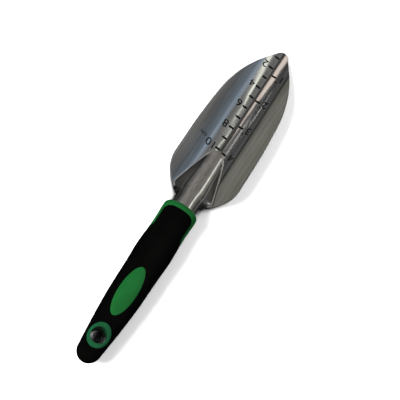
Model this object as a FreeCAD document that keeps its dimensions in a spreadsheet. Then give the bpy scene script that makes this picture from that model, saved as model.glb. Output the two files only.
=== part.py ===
import FreeCAD, Part
import math
import os
import Sketcher

# Hand trowel: a pressed steel blade with its neck and tang, a stiff handle core with a collar, a soft grip
# moulded over the core, an oval thumb inlay and a bush that lines the hanging hole.
# Frame: +Y runs from the butt of the handle to the tip of the blade, +Z is up with the hollow of the blade
# facing up, and the origin is under the middle of the trowel, on the plane that it rests on.
# Lengths along the trowel are measured forwards from the butt. Millimetres throughout.

DIMENSIONS = {
    "OverallLength": 278.0,
    "GripAxisHeight": 11.0,
    # blade: a round-bottomed trough with flat wings, cut to a pointed outline
    "SheetThickness": 2.0,
    "FloorRadius": 25.0,
    "FloorHalfWidth": 12.5,
    "WingReach": 30.0,
    "BladeHalfWidth": 26.8,
    "ShoulderStart": 135.5,
    "ShoulderMidX": 21.9,
    "ShoulderMidY": 143.6,
    "ShoulderEnd": 157.0,
    "ShoulderBackRadius": 24.5,
    "ShoulderFrontRadius": 21.0,
    "SideEnd": 177.6,
    "SideRadius": 505.0,
    "SideArcEnd": 216.0,
    "NoseRadius": 119.4,
    "TipRadius": 4.5,
    # ridge that rises from the trough and becomes the neck
    "RidgeStart": 179.0,
    "RidgeBack": 141.0,
    "RidgeBackHeight": 12.6,
    "RidgeBackTop": 8.4,
    "RidgeBackSag": 1.3,
    "RidgeFootHalfWidth": 16.5,
    "RidgeFootHeight": 6.0,
    "RidgeNoseTop": 6.0,
    "RidgeNoseSag": 0.75,
    "RidgeNoseFoot": 8.0,
    "NeckEnd": 132.5,
    "NeckHeight": 15.2,
    "NeckHalfWidth": 9.6,
    "NeckTopHalfWidth": 8.2,
    "NeckSag": 1.5,
    "NeckWallTop": 11.8,
    "NeckBottom": 6.5,
    "CrestStart": 114.0,
    "CrestY": 122.5,
    "CrestRise": 3.0,
    # tang inside the handle
    "TangStart": 58.0,
    "TangTaperStart": 104.0,
    "TangTaperEnd": 116.0,
    "TangHalfWidth": 5.5,
    "KeyHoleRadius": 2.2,
    "KeyHoleFirst": 68.0,
    "KeyHolePitch": 22.0,
    # graduations pressed into the trough, counted from the tip end
    "ScaleZero": 281.0,
    "MarkWidth": 1.1,
    "MarkDepth": 0.15,
    "CmMarkInner": 0.9,
    "CmMarkOuter": 4.9,
    "InchMarkInner": 1.0,
    "InchMarkOuter": 5.1,
    # handle: half widths and half heights at stations along it
    "HandleLength": 124.0,
    "HeelY": 9.0,
    "HeelWidth": 8.35,
    "HeelHeight": 6.9,
    "HoleY": 22.0,
    "HoleWidth": 9.75,
    "HoleHeight": 8.1,
    "RearY": 38.0,
    "RearWidth": 11.2,
    "RearHeight": 9.2,
    "PalmY": 56.0,
    "PalmWidth": 12.15,
    "PalmHeight": 10.0,
    "MiddleY": 75.0,
    "MiddleWidth": 12.6,
    "MiddleHeight": 10.5,
    "SwellY": 90.5,
    "SwellWidth": 13.0,
    "SwellHeight": 10.95,
    "WaistY": 101.5,
    "WaistWidth": 12.5,
    "WaistHeight": 10.5,
    "CollarY": 113.0,
    "CollarWidth": 12.6,
    "CollarHeight": 10.6,
    "FrontWidth": 12.5,
    "FrontHeight": 10.65,
    "FrontRounding": 3.2,
    "GripSkin": 2.4,
    "ThinSkin": 1.3,
    # where the core shows: the collar's front band, and a slot along each side of the handle
    "BandStart": 119.6,
    "SlotStart": 100.0,
    "SlotHalfHeight": 4.9,
    "SlotMouthRadius": 6.0,
    # thumb inlay and hanging hole
    "InlayY": 52.6,
    "InlayHalfLength": 18.5,
    "InlayHalfWidth": 6.5,
    "InlayProud": 0.15,
    "BushY": 18.8,
    "BushHalfLength": 8.75,
    "BushHalfWidth": 7.5,
    "BushProud": 0.7,
    "BushRounding": 0.6,
    "BarrelRadius": 6.6,
    "HangHoleRadius": 5.4,
}

HANDLE_STATIONS = ("Heel", "Hole", "Rear", "Palm", "Middle", "Swell", "Waist", "Collar", "Front")
PALM_STATIONS = ("Rear", "Palm", "Middle", "Swell")
KEY_HOLES = 2
CM_MARKS = 10
INCH_MARKS = 4
MARK_CUTTER = 5.0     # height of the cutters that press the graduations
MM_PER_CM = 10.0
MM_PER_INCH = 25.4
CLEAR = 60.0          # length of a cutter that has to pass right through the trowel
MARGIN = 5.0          # how far a cutter or a blank runs past the piece it shapes
LAP = 0.3             # how far the trough reaches back into the neck
TOUCH = 0.05          # points nearer than this count as touching
SHEET = "Sizes"

# The hollow under the ridge, as its distance inside the outer face in sheet thicknesses: sideways at the foot,
# sideways at the top, and downwards at the foot. Upright walls are thinned sideways, sloping flanks downwards.
UPRIGHT_WALL = (1.0, 0.7, 0.6)
SLOPING_FLANK = (0.0, 0.3, 1.17)

X_AXIS = FreeCAD.Vector(1, 0, 0)
EDGE_ON_Y = FreeCAD.Rotation(X_AXIS, 90)     # turns a flat curve so that it faces along the trowel


class Size:
    """A length that carries both its value and the spreadsheet expression that gives it."""

    def __init__(self, value, text):
        self.value = float(value)
        self.text = text

    def _join(self, other, sign, value):
        if not isinstance(other, Size):
            other = Size(other, str(other))
        return Size(value(self.value, other.value), f"({self.text} {sign} {other.text})")

    def __add__(self, other):
        return self._join(other, "+", lambda a, b: a + b)

    def __sub__(self, other):
        return self._join(other, "-", lambda a, b: a - b)

    def __mul__(self, other):
        return self._join(other, "*", lambda a, b: a * b)

    def __truediv__(self, other):
        return self._join(other, "/", lambda a, b: a / b)

    def __neg__(self):
        return Size(-self.value, f"(0 - {self.text})")


def root(size):
    return Size(size.value ** 0.5, f"sqrt({size.text})")


def dim(name):
    return Size(DIMENSIONS[name], f"{SHEET}.{name}")


def bind(feature, **sizes):
    """Set properties of a feature from sizes; a double underscore stands for a dot in the property's path."""
    for prop, size in sizes.items():
        feature.setExpression(prop.replace("__", "."), size.text)
    return feature


def make_sheet(doc):
    sheet = doc.addObject("Spreadsheet::Sheet", SHEET)
    for row, (name, value) in enumerate(DIMENSIONS.items(), start=1):
        sheet.set(f"A{row}", name)
        sheet.set(f"B{row}", str(value))
        sheet.setAlias(f"B{row}", name)
    doc.recompute()
    return sheet


# ---------------------------------------------------------------- sketches


def add_body(doc, name, height):
    """A body whose own Y starts at the butt and whose own Z starts at the given height."""
    body = doc.addObject("PartDesign::Body", name)
    bind(body, Placement__Base__y=-dim("OverallLength") / 2, Placement__Base__z=height)
    return body


def add_sketch(body, name, plane, offset):
    """A sketch on one of the body's own origin planes, moved along the plane's normal."""
    sketch = body.newObject("Sketcher::SketchObject", name)
    support = [f for f in body.Origin.OriginFeatures if f.Role == plane][0]
    sketch.AttachmentSupport = [(support, "")]
    sketch.MapMode = "FlatFace"
    bind(sketch, AttachmentOffset__Base__z=offset)
    return sketch


def section_sketch(body, name, station):
    """A sketch across the trowel: its x is the body's X, its y is the body's Z."""
    return add_sketch(body, name, "XZ_Plane", -station)


def fix(sketch, kind, geometry, point, size):
    """Dimension a point from the sketch's axes; a point on an axis is held on it instead."""
    if size.value == 0.0:
        axis = -2 if kind == "DistanceX" else -1
        sketch.addConstraint(Sketcher.Constraint("PointOnObject", geometry, point, axis))
        return
    index = sketch.addConstraint(Sketcher.Constraint(kind, -1, 1, geometry, point, size.value))
    sketch.setExpression(f"Constraints[{index}]", size.text)


def arc_between(start, end, radius, left):
    """Counter-clockwise arc through two points with its centre to the left or right of the way between them."""
    middle = (start + end) / 2
    along = end - start
    side = FreeCAD.Vector(-along.y, along.x, 0).normalize() * (1 if left else -1)
    height = max(radius ** 2 - (along.Length / 2) ** 2, 0.0) ** 0.5
    circle = Part.Circle(middle + side * height, FreeCAD.Vector(0, 0, 1), radius)
    first, last = (start, end) if left else (end, start)
    low, high = circle.parameter(first), circle.parameter(last)
    return Part.ArcOfCircle(circle, low, high if high > low else high + math.tau)


def draw_profile(sketch, corners, arcs=None):
    """Closed profile through dimensioned corners. arcs gives, for the side that leaves a corner, the arc's
    radius and whether its centre lies to the left."""
    arcs = arcs or {}
    points = [FreeCAD.Vector(x.value, y.value, 0) for x, y in corners]
    ends = []
    for number, start in enumerate(points):
        end = points[(number + 1) % len(points)]
        if number in arcs:
            radius, left = arcs[number]
            geometry = sketch.addGeometry(arc_between(start, end, radius.value, left), False)
            ends.append((geometry, 1, 2) if left else (geometry, 2, 1))
        else:
            geometry = sketch.addGeometry(Part.LineSegment(start, end), False)
            ends.append((geometry, 1, 2))
    for number, (geometry, start_point, _) in enumerate(ends):
        before, _, before_end = ends[number - 1]
        sketch.addConstraint(Sketcher.Constraint("Coincident", before, before_end, geometry, start_point))
        x, y = corners[number]
        fix(sketch, "DistanceX", geometry, start_point, x)
        fix(sketch, "DistanceY", geometry, start_point, y)
    for number, (radius, _) in arcs.items():
        index = sketch.addConstraint(Sketcher.Constraint("Radius", ends[number][0], radius.value))
        sketch.setExpression(f"Constraints[{index}]", radius.text)


def mirrored(right_side):
    """Corners of a symmetric profile, from its right-hand corners in order."""
    return right_side + [(-x, y) for x, y in reversed(right_side)]


def chord_radius(half_chord, sag):
    return (half_chord * half_chord + sag * sag) / (sag * 2)


# ---------------------------------------------------------------- blade


def trough_levels():
    """Heights of the trough's upper face where the floor meets the wing and at the wing's end."""
    bend, radius = dim("FloorHalfWidth"), dim("FloorRadius")
    rise = root(radius * radius - bend * bend)
    bend_height = dim("SheetThickness") + radius - rise
    reach_height = bend_height + (dim("WingReach") - bend) * bend / rise
    return bend_height, reach_height


def underside_points():
    """The bend and the end of the wing on the trough's lower face, one sheet thickness below the upper."""
    bend, radius, sheet = dim("FloorHalfWidth"), dim("FloorRadius"), dim("SheetThickness")
    cosine = root(radius * radius - bend * bend) / radius
    outer_bend = bend * (radius + sheet) / radius
    outer_bend_height = (radius + sheet) - (radius + sheet) * cosine
    reach_height = trough_levels()[1] - sheet / cosine
    return outer_bend, outer_bend_height, reach_height


def add_trough(body):
    bend_height, reach_height = trough_levels()
    outer_bend, outer_bend_height, outer_reach_height = underside_points()
    bend, reach = dim("FloorHalfWidth"), dim("WingReach")
    sketch = section_sketch(body, "TroughSection", dim("ShoulderStart") - LAP)
    corners = [(-reach, reach_height), (-bend, bend_height), (bend, bend_height), (reach, reach_height),
               (reach, outer_reach_height), (outer_bend, outer_bend_height),
               (-outer_bend, outer_bend_height), (-reach, outer_reach_height)]
    outer_radius = dim("FloorRadius") + dim("SheetThickness")
    draw_profile(sketch, corners, {1: (dim("FloorRadius"), True), 5: (outer_radius, False)})
    pad = body.newObject("PartDesign::Pad", "Trough")
    pad.Profile = sketch
    pad.Reversed = True
    bind(pad, Length=dim("OverallLength") - dim("ShoulderStart") + MARGIN)
    return pad


def ridge_stations():
    """The ridge from the tang to the blade, on the sheet's outer face: station, height, half width and sag of
    the rounded top, half width and height where the flank ends, the level that the solid hump goes down to, and
    the way that it is hollowed. The neck keeps the ridge's slope up to a crest, which lies inside the collar."""
    sheet = dim("SheetThickness")
    neck = (dim("NeckHeight"), dim("NeckTopHalfWidth"), dim("NeckSag"), dim("NeckHalfWidth"),
            dim("NeckWallTop"), dim("NeckBottom"), UPRIGHT_WALL)
    crest = (dim("NeckHeight") + dim("CrestRise"), dim("NeckTopHalfWidth"), dim("NeckSag"),
             dim("NeckHalfWidth"), dim("NeckWallTop") + dim("CrestRise"), dim("NeckBottom"), UPRIGHT_WALL)
    back = (dim("RidgeBackHeight"), dim("RidgeBackTop"), dim("RidgeBackSag"), dim("RidgeFootHalfWidth"),
            dim("RidgeFootHeight"), -sheet, SLOPING_FLANK)
    nose = (sheet, dim("RidgeNoseTop"), dim("RidgeNoseSag"), dim("RidgeNoseFoot"), sheet / 10, -sheet,
            SLOPING_FLANK)
    return [(dim("TangStart"),) + neck, (dim("CrestStart"),) + neck, (dim("CrestY"),) + crest,
            (dim("NeckEnd"),) + neck, (dim("RidgeBack"),) + back, (dim("RidgeStart"),) + nose]


def add_ridge(body):
    """The raised ridge and neck, a solid hump."""
    sketches = []
    for number, (station, height, top, sag, foot, foot_height, base, _) in enumerate(ridge_stations()):
        sketch = section_sketch(body, f"RidgeSection{number}", station)
        corners = mirrored([(foot, base), (foot, foot_height), (top, height - sag)])
        draw_profile(sketch, corners, {2: (chord_radius(top, sag), True)})
        sketches.append(sketch)
    return add_loft(body, "PartDesign::AdditiveLoft", "Ridge", sketches)


def hollow_ridge(body):
    """Take away all but the sheet's thickness of the hump, from below."""
    sheet = dim("SheetThickness")
    sketches = []
    for number, (station, height, top, sag, foot, foot_height, _, inset) in enumerate(ridge_stations()):
        inner_foot = foot - sheet * inset[0]
        inner_top = top - sheet * inset[1]
        inner_foot_height = foot_height - sheet * inset[2]
        sketch = section_sketch(body, f"HollowSection{number}", station)
        corners = mirrored([(inner_foot, -sheet * 2), (inner_foot, inner_foot_height),
                            (inner_top, height - sheet - sag)])
        draw_profile(sketch, corners, {2: (chord_radius(inner_top, sag), True)})
        sketches.append(sketch)
    return add_loft(body, "PartDesign::SubtractiveLoft", "RidgeHollow", sketches)


def add_loft(body, kind, name, sketches):
    loft = body.newObject(kind, name)
    loft.Profile = sketches[0]
    loft.Sections = sketches[1:]
    loft.Ruled = True
    return loft


def clear_underside(body):
    """Remove what the ridge leaves below the trough."""
    outer_bend, outer_bend_height, reach_height = underside_points()
    reach, sheet = dim("WingReach"), dim("SheetThickness")
    sketch = section_sketch(body, "UndersideSection", dim("ShoulderStart") - LAP * 2)
    corners = mirrored([(reach, -sheet * 3), (reach, reach_height), (outer_bend, outer_bend_height)])
    draw_profile(sketch, corners, {2: (dim("FloorRadius") + sheet, False)})
    cut = body.newObject("PartDesign::Pocket", "UndersideCut")
    cut.Profile = sketch
    cut.Reversed = False
    bind(cut, Length=dim("OverallLength") - dim("ShoulderStart") + MARGIN)
    return cut


def outline_corners():
    """Right-hand corners of the blade's plan outline from the tang to the tip, and the arcs between them."""
    half, side_end, arc_end = dim("BladeHalfWidth"), dim("SideEnd"), dim("SideArcEnd")
    side, nose = dim("SideRadius"), dim("NoseRadius")
    neck, shoulder = dim("NeckHalfWidth"), dim("ShoulderStart")
    run = arc_end - side_end
    cosine = root(side * side - run * run) / side
    arc_end_x = half - side + side * cosine
    centre_x = arc_end_x - nose * cosine
    centre_y = arc_end - nose * run / side
    point_y = centre_y + root(nose * nose - centre_x * centre_x)
    tang, taper = dim("TangHalfWidth"), dim("TangTaperEnd")
    corners = [(tang, dim("TangStart")), (tang, dim("TangTaperStart")), (neck, taper), (neck, shoulder)]
    corners += [(dim("ShoulderMidX"), dim("ShoulderMidY")), (half, dim("ShoulderEnd"))]
    corners += [(half, side_end), (arc_end_x, arc_end), (Size(0, "0"), point_y)]
    arcs = {3: (dim("ShoulderBackRadius"), True), 4: (dim("ShoulderFrontRadius"), True),
            6: (side, True), 7: (nose, True)}
    return corners, arcs


def trim_outline(body):
    """Cut everything outside the plan outline."""
    corners, right_arcs = outline_corners()
    last = len(corners) - 1
    loop = corners + [(-x, y) for x, y in reversed(corners[:-1])]
    arcs = dict(right_arcs)
    for number, arc in right_arcs.items():
        arcs[2 * last - 1 - number] = arc
    sketch = add_sketch(body, "PlanOutline", "XY_Plane", Size(CLEAR / 2, str(CLEAR / 2)))
    draw_profile(sketch, loop, arcs)
    margin = dim("WingReach") + MARGIN
    far = dim("OverallLength") + MARGIN
    near = dim("TangStart") - MARGIN
    draw_profile(sketch, [(margin, near), (margin, far), (-margin, far), (-margin, near)])
    cut = body.newObject("PartDesign::Pocket", "OutlineCut")
    cut.Profile = sketch
    cut.Length = CLEAR
    return cut


def round_tip(body, cut):
    """Round the vertical edge at the point of the blade."""
    tip = max(edge_candidates(cut.Shape, vertical_edge), key=lambda item: item[1].CenterOfMass.y)
    fillet = body.newObject("PartDesign::Fillet", "TipRounding")
    fillet.Base = (cut, [f"Edge{tip[0]}"])
    bind(fillet, Radius=dim("TipRadius"))
    return fillet


def edge_candidates(shape, test):
    return [(number, edge) for number, edge in enumerate(shape.Edges, start=1) if test(edge)]


def vertical_edge(edge):
    box = edge.BoundBox
    return box.ZLength > TOUCH > max(box.XLength, box.YLength)


def key_holes(body):
    """Two holes through the tang, which the core's plastic fills."""
    for number in range(KEY_HOLES):
        y = dim("KeyHoleFirst") + dim("KeyHolePitch") * number
        sketch = add_sketch(body, f"KeyHole{number}", "XY_Plane", Size(CLEAR / 2, str(CLEAR / 2)))
        radius = dim("KeyHoleRadius")
        circle = Part.Circle(FreeCAD.Vector(0, y.value, 0), FreeCAD.Vector(0, 0, 1), radius.value)
        geometry = sketch.addGeometry(circle, False)
        fix(sketch, "DistanceX", geometry, 3, Size(0, "0"))
        fix(sketch, "DistanceY", geometry, 3, y)
        index = sketch.addConstraint(Sketcher.Constraint("Radius", geometry, radius.value))
        sketch.setExpression(f"Constraints[{index}]", radius.text)
        cut = body.newObject("PartDesign::Pocket", f"KeyHoleCut{number}")
        cut.Profile = sketch
        cut.Length = CLEAR
    return cut


def graduations(body, name, pitch, count, inner, outer):
    """A row of short marks across the trough, one every pitch from the scale's zero."""
    half = dim("MarkWidth") / 2
    first = dim("ScaleZero") - pitch
    sketch = add_sketch(body, f"{name}Mark", "XY_Plane", dim("SheetThickness") - dim("MarkDepth"))
    draw_profile(sketch, [(inner, first - half), (outer, first - half), (outer, first + half),
                          (inner, first + half)])
    cut = body.newObject("PartDesign::Pocket", f"{name}MarkCut")
    cut.Profile = sketch
    cut.Reversed = True
    cut.Length = MARK_CUTTER
    row = body.newObject("PartDesign::LinearPattern", f"{name}Marks")
    row.Originals = [cut]
    row.Direction = (sketch, ["V_Axis"])
    row.Reversed = True
    row.Length = pitch * (count - 1)
    row.Occurrences = count
    body.Tip = row
    return row


def make_blade(doc):
    body = add_body(doc, "blade", Size(0, "0"))
    add_trough(body)
    add_ridge(body)
    hollow_ridge(body)
    clear_underside(body)
    cut = trim_outline(body)
    doc.recompute()
    round_tip(body, cut)
    key_holes(body)
    doc.recompute()
    before = body.Shape.Volume
    graduations(body, "Cm", MM_PER_CM, CM_MARKS, -dim("CmMarkOuter"), -dim("CmMarkInner"))
    graduations(body, "Inch", MM_PER_INCH, INCH_MARKS, dim("InchMarkInner"), dim("InchMarkOuter"))
    doc.recompute()
    print("graduations remove", round(before - body.Shape.Volume, 1), "mm3")
    return body


# ---------------------------------------------------------------- handle


def handle_loft(doc, name, stations, grow_for):
    """A solid through ellipses across the handle, each grown or shrunk by its own amount."""
    rings = []
    for station in stations:
        grow = grow_for(station)
        ring = doc.addObject("Part::Ellipse", f"{name}{station}")
        ring.Placement = FreeCAD.Placement(FreeCAD.Vector(0, 0, 0), EDGE_ON_Y)
        along = dim("HandleLength") if station == "Front" else dim(f"{station}Y")
        bind(ring, MajorRadius=dim(f"{station}Width") + grow, MinorRadius=dim(f"{station}Height") + grow,
             Placement__Base__y=along - dim("OverallLength") / 2, Placement__Base__z=dim("GripAxisHeight"))
        rings.append(ring)
    loft = doc.addObject("Part::Loft", name)
    loft.Sections = rings
    loft.Solid = True
    loft.Ruled = False
    return loft


def rounded_end(doc, name, grow):
    """The rounded butt: an ellipsoid whose middle is at the heel."""
    dome = doc.addObject("Part::Ellipsoid", name)
    dome.Angle1, dome.Angle2, dome.Angle3 = -90, 90, 360
    bind(dome, Radius1=dim("HeelHeight") + grow, Radius2=dim("HeelWidth") + grow, Radius3=dim("HeelY") + grow,
         Placement__Base__y=dim("HeelY") - dim("OverallLength") / 2, Placement__Base__z=dim("GripAxisHeight"))
    return dome


def boolean(doc, kind, name, base, tool):
    result = doc.addObject(f"Part::{kind}", name)
    result.Base = base
    result.Tool = tool
    return result


def make_envelope(doc):
    """The whole outside of the handle, with its front rim rounded."""
    loft = handle_loft(doc, "HandleForm", HANDLE_STATIONS, lambda station: 0)
    whole = boolean(doc, "Fuse", "HandleSharp", loft, rounded_end(doc, "Butt", 0))
    doc.recompute()
    rim = max(edge_candidates(whole.Shape, lambda edge: True), key=lambda item: item[1].BoundBox.YMin)
    rounded = doc.addObject("Part::Fillet", "HandleEnvelope")
    rounded.Base = whole
    radius = DIMENSIONS["FrontRounding"]
    rounded.Edges = [(rim[0], radius, radius)]
    return rounded


def make_core_form(doc):
    """The inside of the grip: the handle less the grip's skin, which is thick only under the palm."""

    def skin(station):
        return -dim("GripSkin") if station in PALM_STATIONS else -dim("ThinSkin")

    loft = handle_loft(doc, "CoreForm", HANDLE_STATIONS, skin)
    return boolean(doc, "Fuse", "CoreWhole", loft, rounded_end(doc, "CoreButt", -dim("ThinSkin")))


def make_exposed(doc, envelope):
    """The part of the handle where the core shows: the collar's front band and a slot along each side."""
    body = doc.addObject("PartDesign::Body", "ExposedForm")
    bind(body, Placement__Base__y=-dim("OverallLength") / 2, Placement__Base__z=dim("GripAxisHeight"))
    sketch = add_sketch(body, "SideView", "YZ_Plane", Size(0, "0"))
    band, slot, mouth, start = dim("BandStart"), dim("SlotHalfHeight"), dim("SlotMouthRadius"), dim("SlotStart")
    end, tall = dim("HandleLength") + MARGIN, dim("SwellHeight") + MARGIN
    upper = [(end, tall), (band, tall), (band, slot + mouth), (band - mouth, slot), (start + slot, slot)]
    lower = [(y, -z) for y, z in reversed(upper)]
    corners = upper + [(start, Size(0, "0"))] + lower
    draw_profile(sketch, corners, {2: (mouth, False), 4: (slot, True), 5: (slot, True), 7: (mouth, False)})
    pad = body.newObject("PartDesign::Pad", "SideViewPad")
    pad.Profile = sketch
    pad.SideType = "Symmetric"
    pad.Length = CLEAR
    doc.recompute()
    return body, boolean(doc, "Common", "CollarForm", envelope, body)


def oval_prism(doc, name, along, half_length, half_width, low, high):
    """An upright prism with an oval section whose length lies along the trowel."""
    oval = doc.addObject("Part::Ellipse", f"{name}Oval")
    oval.Placement = FreeCAD.Placement(FreeCAD.Vector(0, 0, 0), FreeCAD.Rotation(FreeCAD.Vector(0, 0, 1), 90))
    bind(oval, MajorRadius=half_length, MinorRadius=half_width,
         Placement__Base__y=along - dim("OverallLength") / 2, Placement__Base__z=low)
    prism = doc.addObject("Part::Extrusion", name)
    prism.Base = oval
    prism.DirMode = "Normal"
    prism.Solid = True
    bind(prism, LengthFwd=high - low)
    return prism


def bush_cylinder(doc, name, radius):
    """An upright cylinder on the hanging hole's axis, right through the handle."""
    cylinder = doc.addObject("Part::Cylinder", name)
    cylinder.Height = CLEAR
    bind(cylinder, Radius=radius, Placement__Base__y=dim("BushY") - dim("OverallLength") / 2,
         Placement__Base__z=Size(-CLEAR / 2, str(-CLEAR / 2)))
    return cylinder


def make_bush(doc, core_whole, envelope):
    """The lining of the hanging hole: a barrel through the core, and at each end a rounded oval lip that is let
    into the grip and stands proud of it. Also gives the lips' prism and the barrel as cutters."""
    proud = dim("BushProud")
    form = boolean(doc, "Fuse", "LipForm", handle_loft(doc, "LipLoft", ("Heel", "Hole", "Rear"), lambda _: proud),
                   rounded_end(doc, "LipButt", proud))
    prism = oval_prism(doc, "BushPrism", dim("BushY"), dim("BushHalfLength"), dim("BushHalfWidth"),
                       Size(0, "0"), dim("GripAxisHeight") * 2)
    plug = boolean(doc, "Common", "BushPlug", form, prism)
    lips = boolean(doc, "Cut", "BushLips", plug, core_whole)
    barrel = bush_cylinder(doc, "BarrelPrism", dim("BarrelRadius"))
    blank = boolean(doc, "Fuse", "BushBlank", lips, boolean(doc, "Common", "BushBarrel", core_whole, barrel))
    bore = bush_cylinder(doc, "HangHole", dim("HangHoleRadius"))
    tube = boolean(doc, "Cut", "BushTube", blank, bore)
    doc.recompute()
    rims = edge_candidates(tube.Shape, lambda edge: stands_clear(edge, envelope.Shape))
    bush = doc.addObject("Part::Fillet", "hang_bush")
    bush.Base = tube
    radius = DIMENSIONS["BushRounding"]
    bush.Edges = [(number, radius, radius) for number, _ in rims]
    return bush, prism, barrel


def stands_clear(edge, solid):
    """Whether both ends and the middle of an edge lie outside a solid."""
    first, last = edge.FirstParameter, edge.LastParameter
    points = [edge.valueAt(first), edge.valueAt((first + last) / 2), edge.valueAt(last)]
    return not any(solid.isInside(point, TOUCH, True) for point in points)


def make_inlay(doc, core_whole):
    """The oval thumb pad, which lies on the core and fills its window in the grip."""
    proud = dim("InlayProud")
    form = handle_loft(doc, "InlayForm", HANDLE_STATIONS, lambda station: proud)
    window = oval_prism(doc, "InlayWindow", dim("InlayY"), dim("InlayHalfLength"), dim("InlayHalfWidth"),
                        dim("GripAxisHeight"), dim("GripAxisHeight") * 3)
    inlay = boolean(doc, "Cut", "thumb_inlay", boolean(doc, "Common", "InlayBlank", form, window), core_whole)
    return inlay, window


def make_core(doc, core_whole, collar, barrel, blade):
    """The stiff moulding: the inside of the handle with its collar, moulded round the tang and the bush."""
    form = boolean(doc, "Fuse", "CoreAndCollar", core_whole, collar)
    holed = boolean(doc, "Cut", "CoreHoled", form, barrel)
    return boolean(doc, "Cut", "handle_core", holed, blade)


def make_grip(doc, envelope, core_whole, exposed, prism, window):
    """The soft skin over the core, open where the core, the inlay and the bush show."""
    shell = boolean(doc, "Cut", "GripShell", envelope, core_whole)
    open_front = boolean(doc, "Cut", "GripOpenFront", shell, exposed)
    holed = boolean(doc, "Cut", "GripHoled", open_front, prism)
    return boolean(doc, "Cut", "soft_grip", holed, window)


# ---------------------------------------------------------------- checks and export


def check(doc, parts):
    doc.recompute()
    for item in doc.Objects:
        if "Invalid" in item.State or "Error" in item.State:
            raise RuntimeError(f"{item.Name} failed to build: {item.State}")
    for part in parts:
        shape = part.Shape
        if shape.isNull() or not shape.isValid():
            raise RuntimeError(f"{part.Label} has no valid shape")


def export(parts):
    os.makedirs("parts", exist_ok=True)
    for part in parts:
        part.Shape.exportStep(f"parts/{part.Label}.step")
        box = part.Shape.optimalBoundingBox(False)
        print(f"{part.Label}: {len(part.Shape.Solids)} solid, volume {part.Shape.Volume:.0f} mm3,",
              f"x {box.XMin:.2f} to {box.XMax:.2f}, y {box.YMin:.2f} to {box.YMax:.2f},",
              f"z {box.ZMin:.2f} to {box.ZMax:.2f}")


def main():
    doc = FreeCAD.newDocument("HandTrowel")
    make_sheet(doc)
    blade = make_blade(doc)
    envelope = make_envelope(doc)
    core_whole = make_core_form(doc)
    exposed, collar = make_exposed(doc, envelope)
    bush, prism, barrel = make_bush(doc, core_whole, envelope)
    inlay, window = make_inlay(doc, core_whole)
    core = make_core(doc, core_whole, collar, barrel, blade)
    grip = make_grip(doc, envelope, core_whole, exposed, prism, window)
    parts = [blade, core, grip, inlay, bush]
    check(doc, parts)
    export(parts)


main()
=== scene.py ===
import math

import bmesh
import bpy
import numpy as np
from mathutils import Matrix, Vector


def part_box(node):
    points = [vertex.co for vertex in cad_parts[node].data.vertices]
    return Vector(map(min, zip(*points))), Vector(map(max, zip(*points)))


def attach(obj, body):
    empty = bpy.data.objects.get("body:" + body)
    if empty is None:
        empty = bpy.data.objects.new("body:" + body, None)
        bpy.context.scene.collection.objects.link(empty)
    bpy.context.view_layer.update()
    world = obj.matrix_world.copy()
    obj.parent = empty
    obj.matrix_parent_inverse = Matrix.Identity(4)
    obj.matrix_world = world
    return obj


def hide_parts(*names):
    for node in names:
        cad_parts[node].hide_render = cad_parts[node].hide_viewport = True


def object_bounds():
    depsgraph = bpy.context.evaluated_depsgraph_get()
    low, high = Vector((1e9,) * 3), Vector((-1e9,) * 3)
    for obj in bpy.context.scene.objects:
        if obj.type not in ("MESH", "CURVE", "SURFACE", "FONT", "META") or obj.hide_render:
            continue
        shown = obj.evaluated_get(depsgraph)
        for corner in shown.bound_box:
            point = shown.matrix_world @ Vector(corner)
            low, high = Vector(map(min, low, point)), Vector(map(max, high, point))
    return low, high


# The looks of a hand trowel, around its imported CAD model. Sizes are in millimetres and are turned into metres
# as each mesh is written. Places along the trowel are measured from the butt of the handle, as in the CAD.

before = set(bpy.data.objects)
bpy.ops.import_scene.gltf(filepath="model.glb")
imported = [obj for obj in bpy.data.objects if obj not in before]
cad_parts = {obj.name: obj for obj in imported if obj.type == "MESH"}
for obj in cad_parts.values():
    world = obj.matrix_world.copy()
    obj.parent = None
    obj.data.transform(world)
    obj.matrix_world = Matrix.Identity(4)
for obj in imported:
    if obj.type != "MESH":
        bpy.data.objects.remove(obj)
CAD_LOW, CAD_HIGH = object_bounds()
MM = 0.001
BUTT = CAD_LOW[1] / MM
BLADE_LOW, BLADE_HIGH = (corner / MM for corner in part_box("blade"))

# ---------------------------------------------------------------- blade: sizes

SHEET = 2.0                                  # thickness of the steel
BLADE_HALF = BLADE_HIGH.x
TANG_START, TANG_HALF = BLADE_LOW.y - BUTT, 5.5
TAPER_START, TAPER_END = 104.0, 116.0        # where the tang widens to the neck
FLOOR_RADIUS = 25.0                          # the trough's round floor, inside
FLOOR_HALF = 12.5
WING_SLOPE = math.asin(FLOOR_HALF / FLOOR_RADIUS)
WING_CURL = math.radians(3.0)                # how much steeper the wing is at its rim than at its bend
NECK_HALF, NECK_END = 9.6, 132.5
SHOULDER = 135.5                             # where the neck's edge meets the shoulder
CORNER = 1.0                                 # how much of the corner between them is cut off
SHOULDER_MID = (21.9, 143.6)
SHOULDER_BACK, SHOULDER_FRONT = 24.5, 21.0   # radii of the shoulder's two arcs
SIDE_START, SIDE_END, SIDE_ARC_END = 157.0, 177.6, 216.0
SIDE_RADIUS, NOSE_RADIUS, TIP_RADIUS = 505.0, 119.4, 4.5
RIDGE_BACK, RIDGE_START = 141.0, 179.0
EDGE_ROUND = 0.35                            # softening of the cut edge
NARROWEST = 0.25                             # least half width of a row at the tip, to keep its points apart
SECTION_SOFTEN = 0.45                        # rounding of the pressed creases
ACROSS = 140                                 # points across each face of the blade
STATION_STEP, STATION_SOFTEN = 0.1, 1.6      # spacing of the ridge's rows and how far its changes are blended

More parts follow.
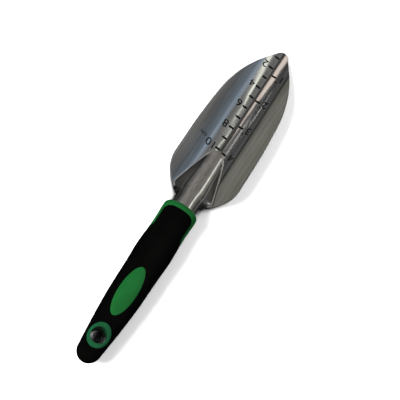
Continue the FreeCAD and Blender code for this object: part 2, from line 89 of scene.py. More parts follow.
# cross-sections of the neck and the ridge: height, top half width, top sag, foot half width, foot height
NECK_FORM = (15.2, 8.2, 1.5, NECK_HALF, 11.8)
CREST_FORM = (18.2, 8.2, 1.5, NECK_HALF, 14.8)
CREST_START, CREST = 114.0, 122.5            # the neck is highest at the crest, which lies inside the collar
RIDGE_STATIONS = (
    (TANG_START, *NECK_FORM),
    (CREST_START, *NECK_FORM),
    (CREST, *CREST_FORM),
    (NECK_END, *NECK_FORM),
    (RIDGE_BACK, 12.6, 8.4, 1.3, 16.5, 6.0),
    (RIDGE_START, 2.0, 6.0, 0.75, 8.0, 0.2),
)

# the hollow under the ridge, in sheet thicknesses: how far its top is set in and its foot is set down, first
# where the flanks slope and then where the neck's walls are upright
TOP_INSETS, FOOT_DROPS = (0.3, 0.7), (1.17, 0.6)
WALL_BOTTOM, WALL_DROP_START = 6.5, 126.0    # the walls' lower edge, and where it starts to come down
RIM_TURN = (130.0, 134.0)                    # where the cut edge turns from facing down to facing outwards
SECTION_STEP, FINER = 0.05, 6                # spacing of a section's points; how much finer it is softened
NEAR = 0.01                                  # a small step along the blade, to find its slope
MERGE = 1e-7                                 # points nearer than this, in metres, are one point

# rows of points along the blade: from, to and step of the even runs, and the others' counts and lengths
REAR_ROWS = ((TANG_START, 112.0, 6.0), (112.0, 128.0, 1.0), (128.0, SHOULDER - CORNER, 0.4))
SHOULDER_ROWS, SHOULDER_RUN = 36, 8.0
RIDGE_ROWS = (SHOULDER + 7.4, RIDGE_START + 3.0, 0.5)
NOSE_START, NOSE_STEP = RIDGE_START + 3.5, 1.0
TIP_ROWS, TIP_RUN, TIP_REACH = 24, 5.0, 4.97

# waves in the polished sheet: height, length, skew and phase, and where they start and fade out
WAVES = ((0.016, 9.0, 0.30, 0.0), (0.010, 5.3, -0.22, 1.1), (0.004, 2.7, 0.4, 2.0))
WAVES_START, WAVES_RISE = 128.0, 12.0
WAVES_EDGE, WAVES_FADE = FLOOR_HALF - 1.5, 4.0


def metres(x, y, z):
    """A point in the row frame from millimetres across, along from the butt, and up."""
    return Vector((x * MM, (y + BUTT) * MM, z * MM))


# ---------------------------------------------------------------- blade: shape


def trough(x, radius=FLOOR_RADIUS, level=SHEET):
    """Height of the trough at a distance from the middle: a round floor, then a wing that curls up."""
    x = np.abs(x)
    bend = radius * math.sin(WING_SLOPE)
    floor = level + radius - np.sqrt(radius ** 2 - np.minimum(x, bend) ** 2)
    out = np.maximum(x - bend, 0.0)
    curl = math.tan(WING_CURL) / math.cos(WING_SLOPE) ** 2 / (BLADE_HALF - FLOOR_HALF)
    return floor + out * (math.tan(WING_SLOPE) + curl / 2 * out)


def arc_points(start, end, radius, count=60):
    """Points of an arc that bulges to the right of the way from start to end."""
    start, end = np.array(start), np.array(end)
    along = end - start
    length = np.linalg.norm(along)
    side = np.array([-along[1], along[0]]) / length
    centre = (start + end) / 2 + side * math.sqrt(max(radius ** 2 - length ** 2 / 4, 0.0))
    first = math.atan2(*(start - centre)[::-1])
    turn = 2 * math.asin(length / 2 / radius)
    angles = first + np.linspace(0.0, turn, count)
    return centre + radius * np.stack([np.cos(angles), np.sin(angles)], axis=1)


def outline():
    """The blade's half width against the place along it, for the right-hand side."""
    run = SIDE_ARC_END - SIDE_END
    side_cos = math.sqrt(SIDE_RADIUS ** 2 - run ** 2) / SIDE_RADIUS
    arc_x = BLADE_HALF - SIDE_RADIUS * (1 - side_cos)
    centre_x = arc_x - NOSE_RADIUS * side_cos
    centre_y = SIDE_ARC_END - NOSE_RADIUS * run / SIDE_RADIUS
    # the tip's small arc touches the nose's arc inside it
    tip_y = centre_y + math.sqrt((NOSE_RADIUS - TIP_RADIUS) ** 2 - centre_x ** 2)
    reach = NOSE_RADIUS / (NOSE_RADIUS - TIP_RADIUS)
    touch = (centre_x - centre_x * reach, centre_y + (tip_y - centre_y) * reach)
    crown = (0.0, tip_y + TIP_RADIUS)
    pieces = [
        np.array([(TANG_HALF, TANG_START), (TANG_HALF, TAPER_START)]),
        np.array([(NECK_HALF, TAPER_END), (NECK_HALF, SHOULDER - CORNER)]),
        arc_points((NECK_HALF + CORNER, SHOULDER), SHOULDER_MID, SHOULDER_BACK),
        arc_points(SHOULDER_MID, (BLADE_HALF, SIDE_START), SHOULDER_FRONT),
        arc_points((BLADE_HALF, SIDE_END), (arc_x, SIDE_ARC_END), SIDE_RADIUS),
        arc_points((arc_x, SIDE_ARC_END), touch, NOSE_RADIUS),
        arc_points(touch, crown, TIP_RADIUS),
    ]
    return np.concatenate(pieces)


OUTLINE = outline()
TIP = OUTLINE[-1, 1]


def half_width(y):
    return np.interp(y, OUTLINE[:, 1], OUTLINE[:, 0])


def blurred(values, reach):
    """A row of values smoothed by a bell curve, with its ends held."""
    kernel = np.exp(-0.5 * (np.arange(-3 * reach, 3 * reach + 1) / reach) ** 2)
    kernel /= kernel.sum()
    padded = np.pad(values, 3 * reach, mode="edge")
    return np.convolve(padded, kernel, "valid")


def smooth_stations():
    """The ridge's stations as close rows, blended so that the pressed steel has no kinks along it."""
    table = np.array(RIDGE_STATIONS)
    places = np.arange(TANG_START, RIDGE_START, STATION_STEP)
    reach = int(STATION_SOFTEN / STATION_STEP)
    columns = [np.interp(places, table[:, 0], table[:, k]) for k in range(1, table.shape[1])]
    return places, [blurred(column, reach) for column in columns]


STATION_PLACES, STATION_COLUMNS = smooth_stations()


def station_values(y):
    return [np.interp(y, STATION_PLACES, column) for column in STATION_COLUMNS]


def section(y, inner):
    """Half of the cross-section of the sheet's upper or lower face at one place, from the middle outwards."""
    height, top, sag, foot, foot_height = station_values(y)
    width = max(half_width(y) - EDGE_ROUND, NARROWEST)
    radius, level = FLOOR_RADIUS, SHEET
    if inner:
        upright = np.clip((RIDGE_BACK - y) / (RIDGE_BACK - NECK_END), 0.0, 1.0)
        height -= SHEET
        top -= SHEET * np.interp(upright, (0.0, 1.0), TOP_INSETS)
        foot -= SHEET * upright
        foot_height -= SHEET * np.interp(upright, (0.0, 1.0), FOOT_DROPS)
        radius, level = FLOOR_RADIUS + SHEET, 0.0
    x = np.arange(0.0, width + SECTION_STEP, SECTION_STEP)
    x[-1] = width
    base = trough(x, radius, level)
    if y >= RIDGE_START:
        return np.stack([x, base], axis=1)
    arc = height - sag * (x / top) ** 2
    flank_slope = (height - sag - foot_height) / (foot - top)
    flank = height - sag - (x - top) * flank_slope
    ridge = np.where(x < top, arc, flank)
    if y < SHOULDER:
        edge = min(foot, width)
        path = np.stack([x, ridge], axis=1)[x <= edge]
        if has_walls(y):
            path = np.concatenate([path, [[edge, wall_bottom(y, inner)]]])
        return path
    return np.stack([x, np.where(x <= foot, np.maximum(ridge, base), base)], axis=1)


def has_walls(y):
    """Whether the sheet turns down into upright walls, as the neck does and the narrower tang doesn't."""
    return half_width(y) >= NECK_HALF


def wall_bottom(y, inner):
    """Level of the lower edge of the neck's walls, which comes down to the blade's as the neck reaches it."""
    share = np.clip((y - WALL_DROP_START) / (SHOULDER - WALL_DROP_START), 0.0, 1.0)
    target = trough(NECK_HALF) - (SHEET if inner else 0.0)
    return WALL_BOTTOM + (target - WALL_BOTTOM) * share ** 2


def resample(path, count):
    """The same line as evenly spaced points, with its corners softened."""
    steps = np.linalg.norm(np.diff(path, axis=0), axis=1)
    along = np.concatenate([[0.0], np.cumsum(steps)])
    fine = np.linspace(0.0, along[-1], count * FINER)
    line = np.stack([np.interp(fine, along, path[:, k]) for k in range(2)], axis=1)
    spacing = along[-1] / (count * FINER)
    reach = int(3 * SECTION_SOFTEN / spacing)
    if 1 <= reach < len(line) - 1:
        kernel = np.exp(-0.5 * (np.arange(-reach, reach + 1) * spacing / SECTION_SOFTEN) ** 2)
        kernel /= kernel.sum()
        head = line[1:reach + 1][::-1] * (-1.0, 1.0)
        tail = 2 * line[-1] - line[-reach - 1:-1][::-1]
        padded = np.concatenate([head, line, tail])
        line = np.stack([np.convolve(padded[:, k], kernel, "valid") for k in range(2)], axis=1)
    pick = np.linspace(0, len(line) - 1, count)
    return np.stack([np.interp(pick, np.arange(len(line)), line[:, k]) for k in range(2)], axis=1)


def row_places():
    """Where the blade's rows of points lie: closer together round the shoulder, the ridge and the tip."""
    pieces = [np.arange(*run) for run in REAR_ROWS]
    pieces += [
        SHOULDER - CORNER + SHOULDER_RUN * np.linspace(0.0, 1.0, SHOULDER_ROWS) ** 2,
        np.arange(*RIDGE_ROWS),
        np.arange(NOSE_START, TIP - TIP_RUN, NOSE_STEP),
        TIP - TIP_RUN + TIP_REACH * np.sin(np.linspace(0.0, math.pi / 2, TIP_ROWS)),
    ]
    return np.concatenate(pieces)


# the rounded cut edge: share of the way from the upper face to the lower, and how far it bulges
RIM = ((0.06, 0.55), (0.15, 0.9), (0.5, 1.0), (0.85, 0.9), (0.94, 0.55))


def rim_points(upper, lower, outward):
    """Points of the rounded cut edge between the two faces."""
    return [upper + (lower - upper) * share + outward * EDGE_ROUND * bulge for share, bulge in RIM]


def blade_rings():
    """Closed rings round the sheet, one for each row."""
    half = ACROSS // 2
    rings = []
    for y in row_places():
        upper = resample(section(y, False), half)
        lower = resample(section(y, True), half)
        slope = (half_width(y + NEAR) - half_width(y - NEAR)) / (2 * NEAR)
        if y > RIM_TURN[0]:
            plan = np.array([1.0, -slope]) / math.hypot(1.0, slope)
            rise = plan[0] * math.tan(WING_SLOPE) * (half_width(y) > FLOOR_HALF)
            outward = np.array([plan[0], plan[1], rise])
            outward /= np.linalg.norm(outward)
            share = np.interp(y, RIM_TURN, (0.0, 1.0))
            outward = outward * share + np.array([0.0, 0.0, -1.0]) * (1 - share)
        elif has_walls(y):
            outward = np.array([0.0, 0.0, -1.0])
        else:
            outward = np.array([1.0, 0.0, 0.0])
        top = [np.array([x, y, z]) for x, z in upper]
        bottom = [np.array([x, y, z]) for x, z in lower]
        rim = rim_points(top[-1], bottom[-1], outward)
        right = top[1:] + rim + bottom[:0:-1]
        left = [point * (-1, 1, 1) for point in right[::-1]]
        rings.append([top[0]] + right + [bottom[0]] + left)
    return np.array(rings)


def ripple(x, y):
    """The slight unevenness of polished sheet: waves along the floor, which die out towards the wings."""
    wave = sum(height * np.sin(y / length + skew * x + phase) for height, length, skew, phase in WAVES)
    inside = np.clip((WAVES_EDGE - np.abs(x)) / WAVES_FADE, 0.0, 1.0)
    return wave * inside * np.clip((y - WAVES_START) / WAVES_RISE, 0.0, 1.0)


def add_ripple(rings):
    rings[..., 2] += ripple(rings[..., 0], rings[..., 1])
    return rings


def ring_mesh(name, rings):
    """A closed surface from rings of points, with its two ends filled across."""
    rows, around = rings.shape[:2]
    mesh = bpy.data.meshes.new(name)
    points = [metres(*point) for ring in rings for point in ring]
    faces = []
    for row in range(rows - 1):
        here, there = row * around, (row + 1) * around
        for k in range(around):
            nxt = (k + 1) % around
            faces.append((here + k, there + k, there + nxt, here + nxt))
    for row, flip in ((0, False), (rows - 1, True)):
        for k in range(around // 2):
            a, b = k, (k + 1) % around
            c, d = (around - k) % around, around - k - 1
            corners = [row * around + v for v in (a, b, d, c)]
            corners = [v for n, v in enumerate(corners) if v not in corners[:n]]
            if len(corners) > 2:
                faces.append(tuple(corners[::-1] if flip else corners))
    mesh.from_pydata(points, [], faces)
    mesh.validate()
    return mesh


def add_piece(name, mesh, slot, material, *nodes):
    """Put a mesh in the scene as a piece that rides on the one body, and stands for CAD nodes."""
    piece = bpy.data.objects.new(name, mesh)
    bpy.context.scene.collection.objects.link(piece)
    mesh.materials.clear()
    mesh.materials.append(material)
    for face in mesh.polygons:
        face.use_smooth = True
    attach(piece, "root")
    if nodes:
        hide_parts(*nodes)
    return piece


def tidy_normals(mesh):
    work = bmesh.new()
    work.from_mesh(mesh)
    bmesh.ops.remove_doubles(work, verts=work.verts, dist=MERGE)
    bmesh.ops.recalc_face_normals(work, faces=work.faces)
    work.to_mesh(mesh)
    work.free()
    return mesh


# ---------------------------------------------------------------- blade: graduations

SCALE_ZERO = 281.0
CM_MARKS, INCH_MARKS = 10, 4
MM_PER_CM, MM_PER_INCH = 10, 25.4
MARK_SINK, MARK_PROUD = 0.12, 0.03
MARK_SLICE = 0.5                             # spacing of the cuts that let a mark follow the trough
DEGENERATE = 0.0003                          # edges shorter than this are closed up
SAME_POINT = 1e-4                            # points nearer than this are one point
STROKE = 0.008                               # how far a numeral is thickened, as a share of its size
TICK, FINE_TICK = 1.6, 0.55                  # widths of the lines
CM_TICK_ENDS, INCH_TICK_ENDS, FINE_TICK_ENDS = (-4.9, -0.9), (1.0, 5.1), (-0.8, 1.5)
FIRST_FINE_TICK = 4                          # the comb starts this many millimetres from the scale's zero
CM_NUMERAL_STEP = 2                          # every second centimetre is numbered

# lettering: size, place across the blade, and place along it from its mark
CM_NUMERAL = (8.6, -8.1, 0.2)
CM_UNIT = (4.6, -17.2, 1.5)
INCH_NUMERAL = (8.4, 9.0, 0.3)
INCH_SIGN = (5.6, 5.9, -1.9)
TWO_DIGIT_SHIFT = 0.8                        # how much farther out the two-digit numeral stands


def mark_mesh(name, flat):
    """Flat faces laid on the trough's floor as thin plates."""
    low, high = min(v.co.x for v in flat.verts), max(v.co.x for v in flat.verts)
    for step in np.arange(math.floor(low), high, MARK_SLICE):
        geometry = flat.verts[:] + flat.edges[:] + flat.faces[:]
        bmesh.ops.bisect_plane(flat, geom=geometry, plane_co=(step, 0, 0), plane_no=(1, 0, 0))
    bmesh.ops.dissolve_degenerate(flat, edges=flat.edges, dist=DEGENERATE)
    for vert in flat.verts:
        vert.co.z = trough(vert.co.x) + ripple(vert.co.x, vert.co.y) + MARK_PROUD
    extruded = bmesh.ops.extrude_face_region(flat, geom=flat.faces[:])
    for item in extruded["geom"]:
        if isinstance(item, bmesh.types.BMVert):
            item.co.z -= MARK_SINK + MARK_PROUD
    for vert in flat.verts:
        vert.co = metres(*vert.co)
    bmesh.ops.recalc_face_normals(flat, faces=flat.faces)
    mesh = bpy.data.meshes.new(name)
    flat.to_mesh(mesh)
    flat.free()
    return mesh


def add_bar(flat, x_low, x_high, y, thick):
    near, far = y - thick / 2, y + thick / 2
    corners = [(x_low, near), (x_high, near), (x_high, far), (x_low, far)]
    flat.faces.new([flat.verts.new((cx, cy, 0.0)) for cx, cy in corners])


def tick_flat():
    flat = bmesh.new()
    for number in range(1, CM_MARKS + 1):
        add_bar(flat, *CM_TICK_ENDS, SCALE_ZERO - MM_PER_CM * number, TICK)
    for number in range(1, INCH_MARKS + 1):
        add_bar(flat, *INCH_TICK_ENDS, SCALE_ZERO - MM_PER_INCH * number, TICK)
    return flat


def fine_tick_flat():
    flat = bmesh.new()
    for number in range(FIRST_FINE_TICK, MM_PER_CM * CM_MARKS + 1):
        add_bar(flat, *FINE_TICK_ENDS, SCALE_ZERO - number, FINE_TICK)
    return flat


def add_text(flat, text, size, x, y):
    """A numeral that reads from the tip end of the blade, centred on a point."""
    curve = bpy.data.curves.new("numeral", "FONT")
    curve.body = text
    curve.size = size
    curve.align_x = "CENTER"
    curve.align_y = "CENTER"
    # the 4 isn't thickened, because any offset fills its opening
    curve.offset = 0.0 if text == "4" else STROKE * size
    holder = bpy.data.objects.new("numeral", curve)
    mesh = bpy.data.meshes.new_from_object(holder)
    mesh.transform(Matrix.Translation((x, y, 0.0)) @ Matrix.Rotation(math.pi, 4, "Z"))
    flat.from_mesh(mesh)
    bpy.data.objects.remove(holder)
    bpy.data.curves.remove(curve)
    bpy.data.meshes.remove(mesh)


def numeral_flat():
    flat = bmesh.new()

    def letter(text, form, mark, shift=0.0):
        size, across, along = form
        add_text(flat, text, size, across - shift, mark + along)

    for number in range(CM_NUMERAL_STEP, CM_MARKS + 1, CM_NUMERAL_STEP):
        shift = TWO_DIGIT_SHIFT if number == CM_MARKS else 0.0
        letter(str(number), CM_NUMERAL, SCALE_ZERO - MM_PER_CM * number, shift)
    letter("cm", CM_UNIT, SCALE_ZERO - MM_PER_CM * CM_MARKS)
    for number in range(1, INCH_MARKS + 1):
        mark = SCALE_ZERO - MM_PER_INCH * number
        letter(str(number), INCH_NUMERAL, mark)
        letter('"', INCH_SIGN, mark)
    bmesh.ops.remove_doubles(flat, verts=flat.verts, dist=SAME_POINT)
    return flat


# ---------------------------------------------------------------- materials

NOISE_RANGE = (0.3, 0.7)
GREEN = ((0.0042, 0.051, 0.0105), (0.006, 0.066, 0.0142))           # darker and lighter, as all pairs here
BUSH_GREEN = ((0.0036, 0.036, 0.0132), (0.0054, 0.047, 0.018))
STEEL_GREY = ((0.54, 0.53, 0.515), (0.76, 0.755, 0.74))
# the graduations' near-black is a painted dark reflection of the dark surroundings in their grooves
PAINTED_DARK_REFLECTION = ((0.0008, 0.0008, 0.0008), (0.004, 0.004, 0.004))
RUBBER_BLACK = ((0.0004, 0.0004, 0.0004), (0.0012, 0.0012, 0.0011))
FLOOR_PAINT = ((0.96, 0.96, 0.96), (0.98, 0.98, 0.98))
ROUGHNESS_SPREAD = 0.06
SMOOTHING = 3                                # passes that round the mouldings' edges

def new_material(name):
    material = bpy.data.materials.new(name)
    material.use_nodes = True
    nodes = material.node_tree.nodes
    return material, nodes, material.node_tree.links, nodes["Principled BSDF"]


def stretched(nodes, links, scale=(1.0, 1.0, 1.0)):
    """Object coordinates scaled along each axis, for a pattern of that grain."""
    coordinates = nodes.new("ShaderNodeTexCoord")
    mapping = nodes.new("ShaderNodeMapping")
    mapping.inputs["Scale"].default_value = scale
    links.new(coordinates.outputs["Object"], mapping.inputs["Vector"])
    return mapping.outputs["Vector"]


def noise(nodes, links, vector, scale, detail=3.0, roughness=0.55):
    texture = nodes.new("ShaderNodeTexNoise")
    texture.inputs["Scale"].default_value = scale
    texture.inputs["Detail"].default_value = detail
    texture.inputs["Roughness"].default_value = roughness
    links.new(vector, texture.inputs["Vector"])
    return texture.outputs["Fac"]


def spread(nodes, links, value, low, high):
    """Map the range that a noise mostly keeps to onto low to high."""
    remap = nodes.new("ShaderNodeMapRange")
    remap.inputs["From Min"].default_value = NOISE_RANGE[0]
    remap.inputs["From Max"].default_value = NOISE_RANGE[1]
    remap.inputs["To Min"].default_value = low
    remap.inputs["To Max"].default_value = high
    links.new(value, remap.inputs["Value"])
    return remap.outputs["Result"]


def colour_between(nodes, links, value, dark, light):
    mix = nodes.new("ShaderNodeMix")
    mix.data_type = "RGBA"
    mix.inputs["A"].default_value = (*dark, 1.0)
    mix.inputs["B"].default_value = (*light, 1.0)
    links.new(spread(nodes, links, value, 0.0, 1.0), mix.inputs["Factor"])
    return mix.outputs["Result"]


def add_bump(nodes, links, shader, height, distance, strength=1.0):
    bump = nodes.new("ShaderNodeBump")
    bump.inputs["Distance"].default_value = distance
    bump.inputs["Strength"].default_value = strength
    links.new(height, bump.inputs["Height"])
    links.new(bump.outputs["Normal"], shader.inputs["Normal"])


def steel_material():
    """Mirror-polished steel with fine lengthwise polishing lines and soft smears."""
    material, nodes, links, shader = new_material("polished_steel")
    shader.inputs["Metallic"].default_value = 1.0
    lines = noise(nodes, links, stretched(nodes, links, (1.0, 0.02, 1.0)), 2600.0, 4.0, 0.7)
    streaks = noise(nodes, links, stretched(nodes, links, (1.0, 0.03, 1.0)), 620.0, 4.0, 0.6)
    smear = noise(nodes, links, stretched(nodes, links, (1.0, 0.25, 1.0)), 90.0, 3.0)
    links.new(colour_between(nodes, links, streaks, *STEEL_GREY),
              shader.inputs["Base Color"])
    links.new(spread(nodes, links, smear, 0.05, 0.13), shader.inputs["Roughness"])
    add_bump(nodes, links, shader, lines, 0.000004, 0.5)
    return material


def etch_material():
    """The graduations in near-black: a painted dark reflection, standing for the dark surroundings that their
    grooves reflect.
    """
    material, nodes, links, shader = new_material("marks_in_painted_dark_reflection")
    grain = noise(nodes, links, stretched(nodes, links), 3000.0)
    links.new(colour_between(nodes, links, grain, *PAINTED_DARK_REFLECTION),
              shader.inputs["Base Color"])
    shader.inputs["Metallic"].default_value = 0.0
    shader.inputs["Roughness"].default_value = 0.7
    shader.inputs["Specular IOR Level"].default_value = 0.08
    return material


def rubber_material():
    """Near-black soft grip with a fine matte grain and a faint worn sheen."""
    material, nodes, links, shader = new_material("grip_rubber")
    grain = noise(nodes, links, stretched(nodes, links), 4200.0, 2.0, 0.5)
    wear = noise(nodes, links, stretched(nodes, links, (1.0, 0.5, 1.0)), 70.0, 4.0)
    links.new(colour_between(nodes, links, wear, *RUBBER_BLACK),
              shader.inputs["Base Color"])
    links.new(spread(nodes, links, wear, 0.50, 0.66), shader.inputs["Roughness"])
    shader.inputs["Specular IOR Level"].default_value = 0.04
    add_bump(nodes, links, shader, grain, 0.00002, 0.6)
    return material


def plastic_material(name, dark, light, rough):
    """Moulded green plastic with a fine satin texture and slightly uneven colour."""
    material, nodes, links, shader = new_material(name)
    grain = noise(nodes, links, stretched(nodes, links), 3600.0, 2.0, 0.5)
    cloud = noise(nodes, links, stretched(nodes, links, (1.0, 0.6, 1.0)), 120.0, 3.0)
    links.new(colour_between(nodes, links, cloud, dark, light), shader.inputs["Base Color"])
    low, high = rough - ROUGHNESS_SPREAD, rough + ROUGHNESS_SPREAD
    links.new(spread(nodes, links, cloud, low, high), shader.inputs["Roughness"])
    shader.inputs["Specular IOR Level"].default_value = 0.15
    add_bump(nodes, links, shader, grain, 0.000012, 0.5)
    return material


def moulded_mesh(name, node_name, cell):
    """A moulding's surface: the design's own shape as an even mesh, with its edges rounded over."""
    source = bpy.data.objects.new(name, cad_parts[node_name].data.copy())
    bpy.context.scene.collection.objects.link(source)
    even = source.modifiers.new("even", "REMESH")
    even.mode = "VOXEL"
    even.voxel_size = cell * MM
    soft = source.modifiers.new("soft", "SMOOTH")
    soft.factor = 0.5
    soft.iterations = SMOOTHING
    graph = bpy.context.evaluated_depsgraph_get()
    mesh = bpy.data.meshes.new_from_object(source.evaluated_get(graph))
    bpy.data.objects.remove(source)
    mesh.name = name
    return mesh


# ---------------------------------------------------------------- studio


def grey(level, warm=0.0):
    return (level * (1 + warm), level, level * (1 - warm))


# Light from round the trowel's length, as the angle from straight up in degrees, positive towards -X, and the
# colour there: first what the blade's trough reflects, then what the ridge does.
TROUGH_LIGHT = (
    (-90, grey(0.02)), (-78, grey(0.10)), (-66, grey(0.40)), (-63.2, grey(0.30, 0.02)),
    (-61, grey(0.13, 0.02)), (-59.4, (0.10, 0.12, 0.14)), (-57, (0.24, 0.30, 0.38)),
    (-51, (0.36, 0.43, 0.52)), (-44, (0.22, 0.26, 0.30)), (-38, grey(0.17)), (-26, grey(0.24)),
    (-14, grey(0.17)), (-3, grey(0.22)), (3, grey(0.12)), (14, grey(0.13, -0.02)), (24, grey(0.12)),
    (32, grey(0.055)), (44, grey(0.10, -0.03)), (54, grey(0.09)), (56.5, grey(0.003)), (58.4, grey(0.003)),
    (59.4, (0.17, 0.17, 0.15)), (61, (0.255, 0.25, 0.225)), (63.5, (0.20, 0.20, 0.175)),
    (66, (0.14, 0.14, 0.12)), (78, grey(0.06)), (90, grey(0.01)),
)
RIDGE_LIGHT = (
    (-90, grey(0.02)), (-75, grey(0.10)), (-62, grey(0.34, 0.03)), (-50, grey(0.03)),
    (-40, grey(0.06, 0.05)), (-30, grey(0.24, 0.05)), (0, grey(0.20, 0.06)), (20, grey(0.30, 0.05)),
    (30, grey(0.16)), (44, grey(0.03)), (60, grey(0.008)), (66, grey(0.20)), (78, grey(0.08)),
    (90, grey(0.01)),
)
RIDGE_AHEAD = (0.57, 0.66)                   # how far ahead the ridge's light takes over from the trough's

# Strips of light that run along the trowel: colour, softness in degrees, then the middle and the half width
# in degrees, each against how far ahead the light comes from, between 0 abeam and 1 straight ahead. The two
# ends of each curve come first.
STRIPS = (
    ((1.35, 1.38, 1.25), 3.0,
     ((0.0, -22), (1.0, -30), (0.34, -18), (0.41, -13), (0.435, -9), (0.46, -17), (0.49, -25), (0.52, -36),
      (0.56, -38), (0.61, -24), (0.66, -22), (0.72, -22), (0.80, -22)),
     ((0.0, 2.0), (1.0, 2.5), (0.36, 2.0), (0.43, 1.4), (0.47, 2.6), (0.50, 5.5), (0.53, 8.5), (0.56, 4.0),
      (0.60, 2.2), (0.66, 2.2), (0.72, 2.2), (0.80, 2.2))),
    ((1.05, 0.92, 0.84), 1.2,
     ((0.0, 10), (1.0, 10), (0.44, 8), (0.49, 11), (0.53, 15), (0.58, 14)),
     ((0.0, 0.0), (1.0, 0.0), (0.43, 0.0), (0.455, 2.0), (0.49, 6.0), (0.53, 9.0), (0.58, 0.0))),
    (grey(1.2), 1.0,
     ((0.0, 30), (1.0, 30), (0.415, 19), (0.43, 24), (0.445, 21), (0.455, 28), (0.47, 36), (0.49, 33)),
     ((0.0, 0.0), (1.0, 0.0), (0.41, 1.0), (0.44, 1.4), (0.475, 1.0), (0.495, 0.0))),
)
HALF_TURN, LEVEL = 180.0, -90.0              # degrees that the angle's share spans, and where it starts

# the two lamps: name, place, size and power, in metres and watts
LAMPS = (("key", (-0.62, -0.45, 0.66), 0.55, 27.0), ("fill", (0.75, 0.75, 0.66), 0.8, 17.0))

FLOOR_REACH, FLOOR_CELLS = 1.6, 8            # half width in metres, and cells each way
FLOOR_GAP = 0.05                             # how far below the trowel it lies
CLOSED_REACH = 0.04                          # how far away, in metres, something still closes the floor in
CLOSED_RANGE, PAINTED_SHADE_LEVEL = (0.42, 0.50), 0.006   # open share over which the painted shade comes in, and how far it darkens the paint

PITCH, LEAN = math.radians(21.475), math.radians(33.08)   # forwards from straight down, and the roll
AIM, DISTANCE = Vector((6.85, 1.0, 2.5)) * MM, 0.6316
SENSOR, LENS = 36.0, 81.0


def studio_world():
    """A grey studio with long soft strips of light, for reflections and shading. The camera sees white."""
    world = bpy.data.worlds.new("studio")
    bpy.context.scene.world = world
    world.use_nodes = True
    nodes, links = world.node_tree.nodes, world.node_tree.links
    background = nodes["Background"]
    coordinates = nodes.new("ShaderNodeTexCoord")
    split = nodes.new("ShaderNodeSeparateXYZ")
    links.new(coordinates.outputs["Generated"], split.inputs["Vector"])

    def calculate(operation, *values):
        node = nodes.new("ShaderNodeMath")
        node.operation = operation
        for socket, value in zip(node.inputs, values):
            if isinstance(value, (int, float)):
                socket.default_value = value
            else:
                links.new(value, socket)
        return node.outputs["Value"]

    def ramp(stops):
        node = nodes.new("ShaderNodeValToRGB")
        elements = node.color_ramp.elements
        for number, (degrees, colour) in enumerate(stops):
            place = (degrees - LEVEL) / HALF_TURN
            element = elements[number] if number < 2 else elements.new(place)
            element.position = place
            element.color = (*colour, 1.0)
        links.new(share, node.inputs["Fac"])
        return node.outputs["Color"]

    def blend(factor, first, second):
        node = nodes.new("ShaderNodeMix")
        node.data_type = "RGBA"
        links.new(factor, node.inputs["Factor"])
        links.new(first, node.inputs["A"])
        links.new(second, node.inputs["B"])
        return node.outputs["Result"]

    def fade(value, low, high):
        node = nodes.new("ShaderNodeMapRange")
        node.interpolation_type = "SMOOTHSTEP"
        node.inputs["From Min"].default_value = low
        node.inputs["From Max"].default_value = high
        links.new(value, node.inputs["Value"])
        return node.outputs["Result"]

    def curve(points, start):
        """A smooth curve of degrees from start, as a share of half a turn, against how far ahead."""
        node = nodes.new("ShaderNodeFloatCurve")
        line = node.mapping.curves[0]
        for number, (place, degrees) in enumerate(points):
            level = (degrees - start) / HALF_TURN
            if number < 2:
                line.points[number].location = (place, level)
            else:
                line.points.new(place, level)
        node.mapping.update()
        links.new(ahead, node.inputs["Value"])
        return node.outputs["Value"]

    def strip(backdrop, colour, soft, middle, half):
        away = calculate("ABSOLUTE", calculate("SUBTRACT", share, curve(middle, LEVEL)))
        edge = calculate("DIVIDE", calculate("SUBTRACT", away, curve(half, 0.0)), soft / HALF_TURN)
        lit = calculate("SUBTRACT", 1.0, fade(edge, -0.5, 0.5))
        glow = nodes.new("ShaderNodeRGB")
        glow.outputs["Color"].default_value = (*colour, 1.0)
        return blend(lit, backdrop, glow.outputs["Color"])

    angle = calculate("ARCTAN2", calculate("MULTIPLY", split.outputs["X"], -1.0), split.outputs["Z"])
    share = calculate("MULTIPLY_ADD", angle, 1.0 / math.pi, 0.5)
    ahead = split.outputs["Y"]
    light = blend(fade(ahead, *RIDGE_AHEAD), ramp(TROUGH_LIGHT), ramp(RIDGE_LIGHT))
    for form in STRIPS:
        light = strip(light, *form)
    path = nodes.new("ShaderNodeLightPath")
    white = nodes.new("ShaderNodeRGB")
    white.outputs["Color"].default_value = (1.0, 1.0, 1.0, 1.0)
    links.new(blend(path.outputs["Is Camera Ray"], light, white.outputs["Color"]), background.inputs["Color"])


def add_light(name, place, size, power):
    lamp = bpy.data.lights.new(name, "AREA")
    lamp.shape = "DISK"
    lamp.size = size
    lamp.energy = power
    holder = bpy.data.objects.new(name, lamp)
    holder.location = place
    holder.rotation_euler = (-Vector(place)).to_track_quat("-Z", "Y").to_euler()
    holder.visible_glossy = False
    bpy.context.scene.collection.objects.link(holder)


def darker_under(nodes, links, colour):
    """Painted shade: darken the paint where it is closed in from nearly every side, as at the foot of the
    hanging hole.
    """
    open_share = nodes.new("ShaderNodeAmbientOcclusion")
    open_share.inputs["Distance"].default_value = CLOSED_REACH
    lit = nodes.new("ShaderNodeMapRange")
    lit.inputs["From Min"].default_value = CLOSED_RANGE[0]
    lit.inputs["From Max"].default_value = CLOSED_RANGE[1]
    lit.inputs["To Min"].default_value = PAINTED_SHADE_LEVEL
    links.new(open_share.outputs["AO"], lit.inputs["Value"])
    scale = nodes.new("ShaderNodeVectorMath")
    scale.operation = "SCALE"
    links.new(colour, scale.inputs["Vector"])
    links.new(lit.outputs["Result"], scale.inputs["Scale"])
    return scale.outputs["Vector"]


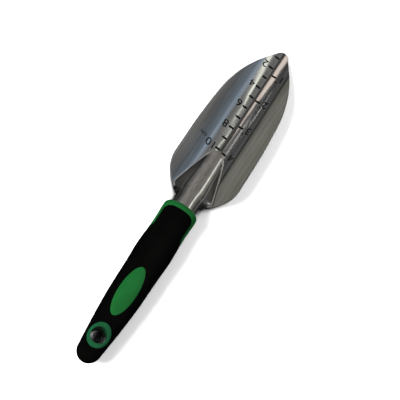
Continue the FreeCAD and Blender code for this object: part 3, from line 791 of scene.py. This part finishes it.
def add_floor():
    """A pale floor just under the trowel, darkened by painted shade only where it is closed in."""
    flat = bmesh.new()
    bmesh.ops.create_grid(flat, x_segments=FLOOR_CELLS, y_segments=FLOOR_CELLS, size=FLOOR_REACH)
    mesh = bpy.data.meshes.new("floor")
    flat.to_mesh(mesh)
    flat.free()
    material, nodes, links, shader = new_material("floor_paint_with_painted_shade")
    cloud = noise(nodes, links, stretched(nodes, links), 6.0)
    paint = colour_between(nodes, links, cloud, *FLOOR_PAINT)
    # painted shade where the floor is closed in, as under the hanging hole
    links.new(darker_under(nodes, links, paint), shader.inputs["Base Color"])
    shader.inputs["Roughness"].default_value = 0.9
    shader.inputs["Specular IOR Level"].default_value = 0.0
    mesh.materials.append(material)
    floor = bpy.data.objects.new("floor", mesh)
    floor.location.z = CAD_LOW[2] - FLOOR_GAP * MM
    floor.visible_glossy = False
    floor.visible_diffuse = False
    bpy.context.scene.collection.objects.link(floor)


def add_camera():
    """The camera looks down and forwards along the trowel, rolled so that the tip leans to the right."""
    forward = Vector((0.0, math.sin(PITCH), -math.cos(PITCH)))
    right = Vector((1.0, 0.0, 0.0))
    up = right.cross(forward)
    rolled_right = right * math.cos(LEAN) + up * math.sin(LEAN)
    rolled_up = up * math.cos(LEAN) - right * math.sin(LEAN)
    place = AIM - forward * DISTANCE
    camera = bpy.data.objects.new("camera", bpy.data.cameras.new("camera"))
    camera.data.sensor_width = SENSOR
    camera.data.lens = LENS
    turn = Matrix((rolled_right, rolled_up, -forward)).transposed()
    camera.matrix_world = Matrix.Translation(place) @ turn.to_4x4()
    bpy.context.scene.collection.objects.link(camera)
    bpy.context.scene.camera = camera


# ---------------------------------------------------------------- assembly


def build_blade():
    # the marks are real shapes; their near-black colour is a painted dark reflection
    steel, black = steel_material(), etch_material()
    mesh = tidy_normals(ring_mesh("blade_sheet", add_ripple(blade_rings())))
    add_piece("blade_sheet", mesh, "polished_steel", steel, "blade")
    for name, flat in (("scale_ticks", tick_flat()), ("scale_fine_ticks", fine_tick_flat()),
                       ("scale_numerals", numeral_flat())):
        piece = add_piece(name, mark_mesh(name, flat), "polished_steel", black)
        for face in piece.data.polygons:
            face.use_smooth = False


def build_handle():
    core = plastic_material("core_plastic", *GREEN, 0.45)
    inlay = plastic_material("inlay_plastic", *GREEN, 0.5)
    bush = plastic_material("bush_plastic", *BUSH_GREEN, 0.3)
    pieces = (
        ("grip_skin", "soft_grip", "grip_rubber", rubber_material(), 0.42),
        ("core_and_collar", "handle_core", "core_plastic", core, 0.4),
        ("thumb_pad", "thumb_inlay", "inlay_plastic", inlay, 0.2),
        ("hole_lining", "hang_bush", "bush_plastic", bush, 0.2),
    )
    for name, node, slot, material, cell in pieces:
        add_piece(name, moulded_mesh(name, node, cell), slot, material, node)


bpy.context.scene.view_settings.view_transform = "Standard"
build_blade()
build_handle()
studio_world()
for lamp_form in LAMPS:
    add_light(*lamp_form)
add_floor()
add_camera()
